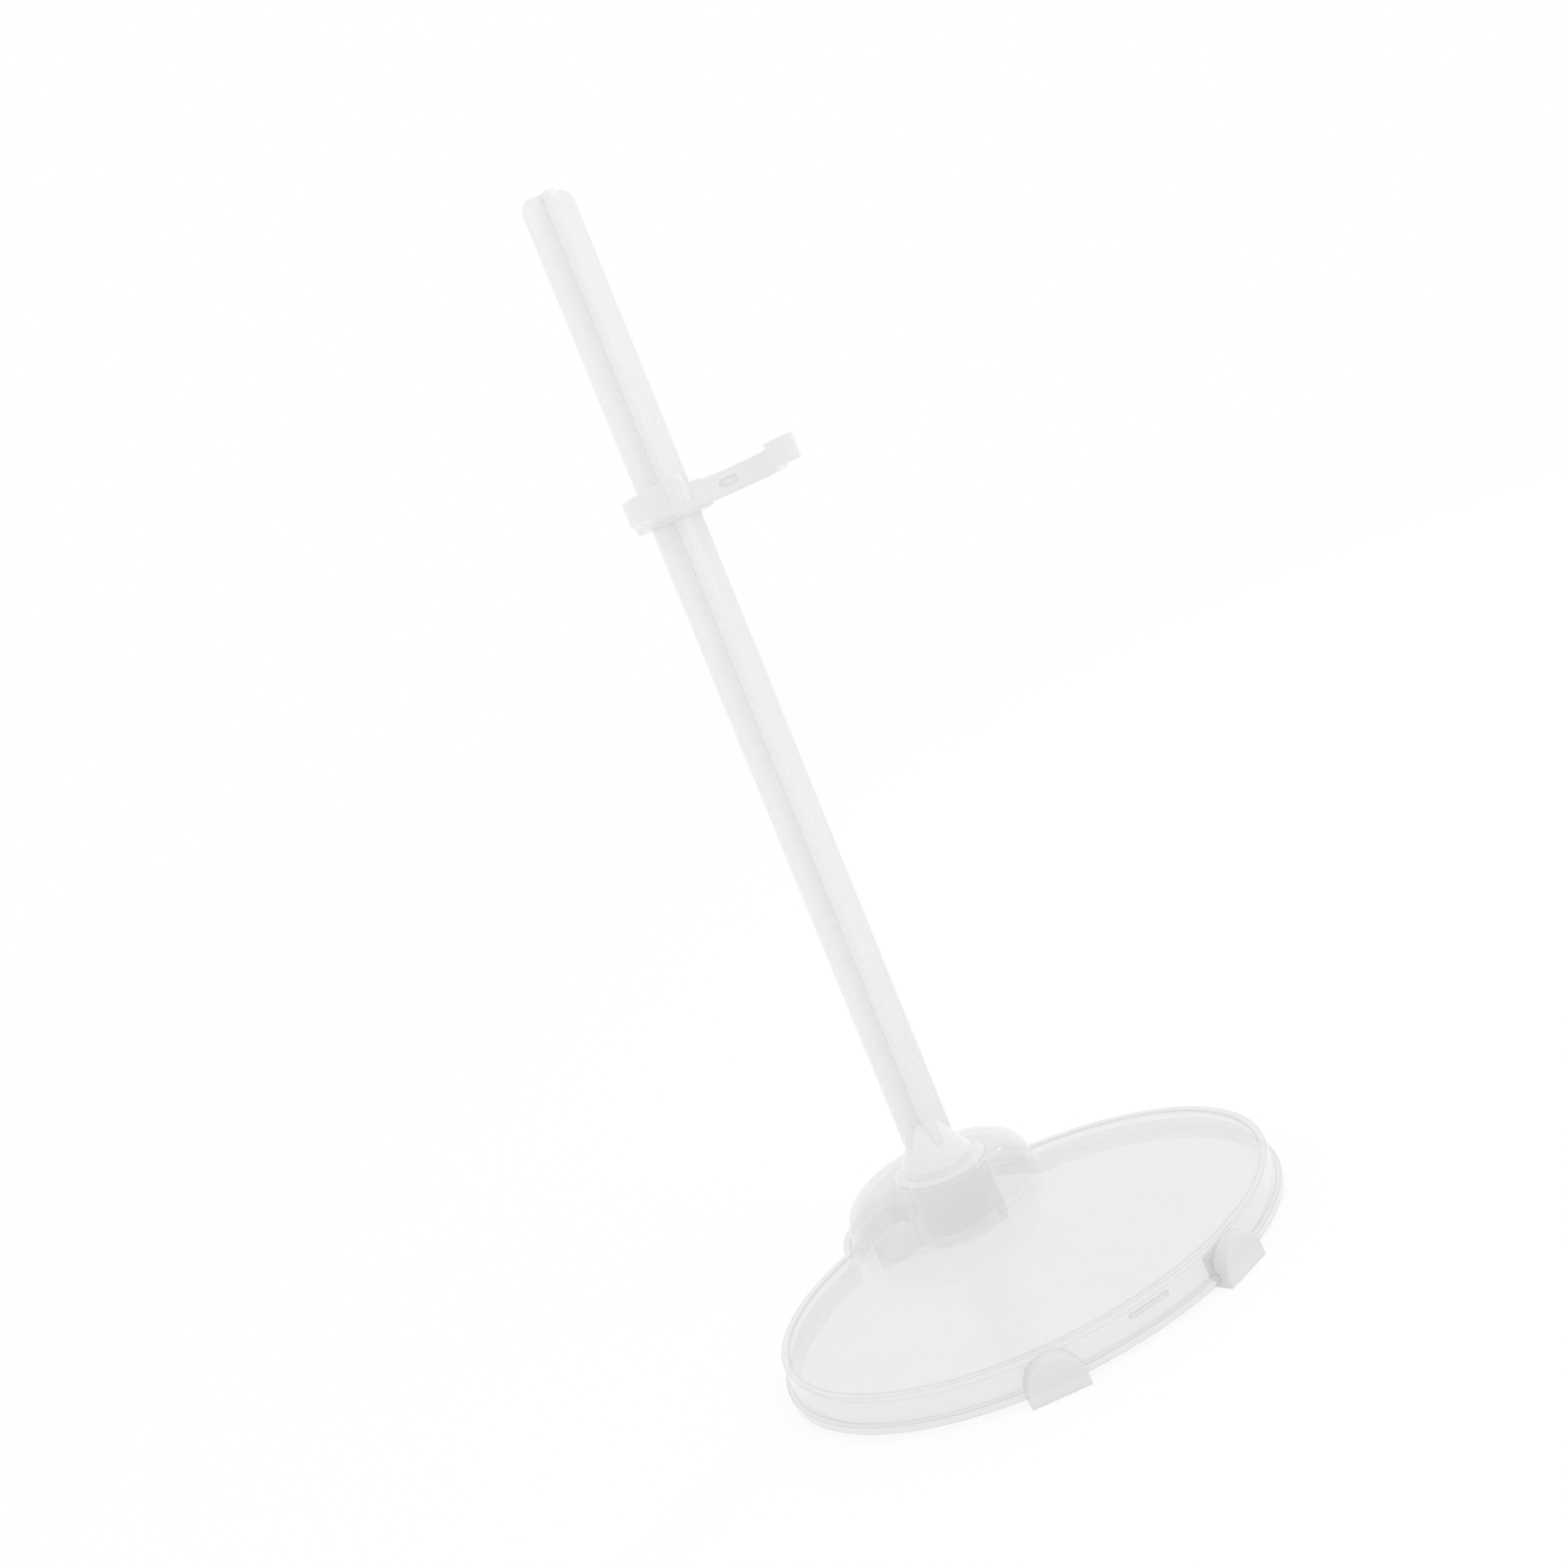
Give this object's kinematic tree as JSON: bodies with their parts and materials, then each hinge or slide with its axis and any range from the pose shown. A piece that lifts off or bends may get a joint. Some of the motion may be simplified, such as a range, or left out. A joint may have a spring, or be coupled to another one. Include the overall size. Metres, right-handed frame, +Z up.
{
  "type": "doll display stand",
  "caption": "Oval translucent base with a domed socket, a cross-section post that plugs in and turns, a sliding C-shaped waist clip and push-on feet.",
  "frame": {"origin": "middle of the footprint, on the surface that the feet rest on", "axes": "+Z up along the post, front of the stand and the clip's arms at rest towards -Y, +X to the right as seen from the front"},
  "size_m": [0.0898, 0.0813, 0.19],
  "materials": {
    "base_plastic": "frosted translucent moulding, satin",
    "post_plastic": "milky translucent moulding, smooth",
    "clip_plastic": "milky translucent moulding, smooth",
    "foot_plastic": "milky matte moulding"
  },
  "bodies": {
    "base": {"base_shell": "base_plastic", "socket_sleeve": "base_plastic", "socket_rib_left": "base_plastic", "socket_rib_rear": "base_plastic", "socket_rib_right": "base_plastic", "foot_front_left": "foot_plastic", "foot_front_right": "foot_plastic", "foot_rear": "foot_plastic"},
    "post": {"support_post": "post_plastic"},
    "clip": {"waist_clip": "clip_plastic"}
  },
  "joints": [
    {"name": "post_swivel", "type": "hinge", "parent": "base", "child": "post", "pos_m": [0, 0.01693, 0.015], "axis": [0, 0, 1], "continuous": true},
    {"name": "clip_slide", "type": "slide", "parent": "post", "child": "clip", "axis": [0, 0, 1], "range_m": [-0.111, 0.048]}
  ]
}
